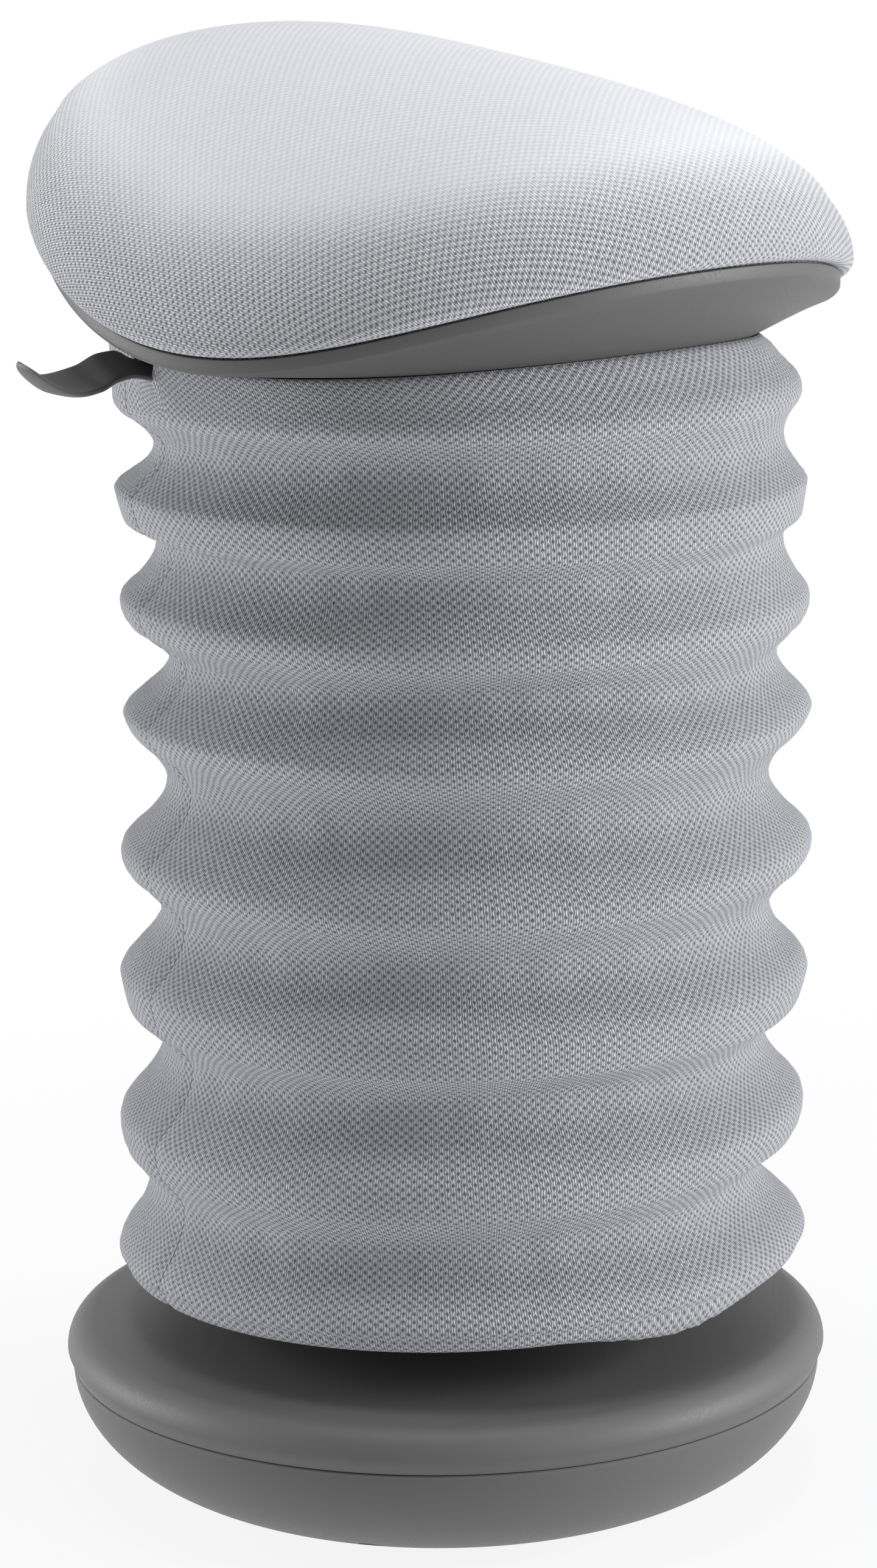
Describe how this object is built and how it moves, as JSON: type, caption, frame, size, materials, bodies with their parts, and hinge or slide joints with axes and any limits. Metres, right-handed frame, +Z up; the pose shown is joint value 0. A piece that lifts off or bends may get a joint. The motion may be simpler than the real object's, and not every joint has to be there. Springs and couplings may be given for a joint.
{
  "type": "wobble stool",
  "caption": "Height-adjustable wobble stool: a weighted rocking foot, a gas column inside a pleated knit cover, a padded saddle seat and a release lever.",
  "frame": {"origin": "centre of the anti-slip sole on the floor, on the column's axis", "axes": "+Z up along the column; the sitter faces -Y, so +X is the sitter's left and the release lever is at -X, a little behind the middle"},
  "size_m": [0.3942, 0.3697, 0.6801],
  "materials": {
    "dark_plastic": "fine moulded grain",
    "sole_rubber": "matt",
    "ballast_iron": "as cast, primed",
    "black_steel": "black powder coat",
    "zinc_steel": "zinc plated",
    "rod_chrome": "hard chrome, ground",
    "white_acetal": "smooth",
    "bumper_rubber": "matt",
    "spring_wire": "drawn wire",
    "plywood": "raw birch plywood",
    "seat_foam": "moulded foam skin",
    "seat_knit": "light grey spacer knit",
    "bellows_knit": "light grey spacer knit"
  },
  "bodies": {
    "base": {"base_bowl": "dark_plastic", "anti_slip_sole": "sole_rubber", "base_cover": "dark_plastic", "base_screw_1": "zinc_steel", "base_screw_2": "zinc_steel", "base_screw_3": "zinc_steel", "base_screw_4": "zinc_steel", "base_screw_5": "zinc_steel", "base_screw_6": "zinc_steel", "ballast_disc": "ballast_iron", "column_hub": "black_steel", "hub_bolt_1": "zinc_steel", "hub_bolt_2": "zinc_steel", "hub_bolt_3": "zinc_steel", "hub_bolt_4": "zinc_steel", "outer_tube": "black_steel", "guide_bush": "white_acetal", "lower_bearing_race": "zinc_steel", "bearing_ball_cage": "zinc_steel"},
    "swivel": {"upper_bearing_race": "zinc_steel", "piston_rod": "rod_chrome", "retaining_clip": "zinc_steel", "end_bumper": "bumper_rubber", "piston": "white_acetal", "piston_seal": "bumper_rubber", "piston_nut": "zinc_steel", "bellows_cover": "bellows_knit"},
    "hoop_1": {"hoop_1": "spring_wire"},
    "hoop_2": {"hoop_2": "spring_wire"},
    "hoop_3": {"hoop_3": "spring_wire"},
    "hoop_4": {"hoop_4": "spring_wire"},
    "hoop_5": {"hoop_5": "spring_wire"},
    "hoop_6": {"hoop_6": "spring_wire"},
    "hoop_7": {"hoop_7": "spring_wire"},
    "hoop_8": {"hoop_8": "spring_wire"},
    "seat": {"pressure_cylinder": "black_steel", "rod_guide": "white_acetal", "valve_body": "white_acetal", "seat_plate": "black_steel", "seat_shell": "dark_plastic", "seat_board": "plywood", "seat_foam": "seat_foam", "seat_cover": "seat_knit", "bellows_strip": "dark_plastic", "seat_bolt_1": "zinc_steel", "seat_bolt_2": "zinc_steel", "seat_bolt_3": "zinc_steel", "seat_bolt_4": "zinc_steel", "tee_nut_1": "zinc_steel", "tee_nut_2": "zinc_steel", "tee_nut_3": "zinc_steel", "tee_nut_4": "zinc_steel", "lever_pin": "zinc_steel"},
    "lever": {"release_lever": "dark_plastic"},
    "valve": {"valve_pin": "zinc_steel"}
  },
  "joints": [
    {"name": "seat_swivel", "type": "hinge", "parent": "base", "child": "swivel", "pos_m": [0, 0, 0.045], "axis": [0, 0, 1], "continuous": true},
    {"name": "seat_height", "type": "slide", "parent": "swivel", "child": "seat", "axis": [0, 0, -1], "range_m": [0, 0.18], "deforming": ["bellows_cover"]},
    {"name": "hoop_1_drop", "type": "slide", "parent": "swivel", "child": "hoop_1", "axis": [0, 0, -1], "range_m": [0, 0.179]},
    {"name": "hoop_2_drop", "type": "slide", "parent": "swivel", "child": "hoop_2", "axis": [0, 0, -1], "range_m": [0, 0.1709]},
    {"name": "hoop_3_drop", "type": "slide", "parent": "swivel", "child": "hoop_3", "axis": [0, 0, -1], "range_m": [0, 0.1516]},
    {"name": "hoop_4_drop", "type": "slide", "parent": "swivel", "child": "hoop_4", "axis": [0, 0, -1], "range_m": [0, 0.1258]},
    {"name": "hoop_5_drop", "type": "slide", "parent": "swivel", "child": "hoop_5", "axis": [0, 0, -1], "range_m": [0, 0.0891]},
    {"name": "hoop_6_drop", "type": "slide", "parent": "swivel", "child": "hoop_6", "axis": [0, 0, -1], "range_m": [0, 0.0552]},
    {"name": "hoop_7_drop", "type": "slide", "parent": "swivel", "child": "hoop_7", "axis": [0, 0, -1], "range_m": [0, 0.0229]},
    {"name": "hoop_8_drop", "type": "slide", "parent": "swivel", "child": "hoop_8", "axis": [0, 0, -1], "range_m": [0, 0.0039]},
    {"name": "lever_lift", "type": "hinge", "parent": "seat", "child": "lever", "pos_m": [-0.0483, 0.01294, 0.5276], "axis": [0.2588, 0.9659, 0], "range_deg": [0, 2], "stiffness_Nm_per_rad": 8},
    {"name": "valve_press", "type": "slide", "parent": "seat", "child": "valve", "axis": [0, 0, -1], "range_m": [0, 0.002]}
  ],
  "couplings": [
    {"joint": "hoop_1_drop", "follows": "seat_height", "ratio": 0.99385},
    {"joint": "hoop_2_drop", "follows": "seat_height", "ratio": 0.94888},
    {"joint": "hoop_3_drop", "follows": "seat_height", "ratio": 0.84162},
    {"joint": "hoop_4_drop", "follows": "seat_height", "ratio": 0.6978},
    {"joint": "hoop_5_drop", "follows": "seat_height", "ratio": 0.49433},
    {"joint": "hoop_6_drop", "follows": "seat_height", "ratio": 0.30559},
    {"joint": "hoop_7_drop", "follows": "seat_height", "ratio": 0.12632},
    {"joint": "hoop_8_drop", "follows": "seat_height", "ratio": 0.02063},
    {"joint": "valve_press", "follows": "lever_lift", "m_per_rad": 0.05}
  ]
}
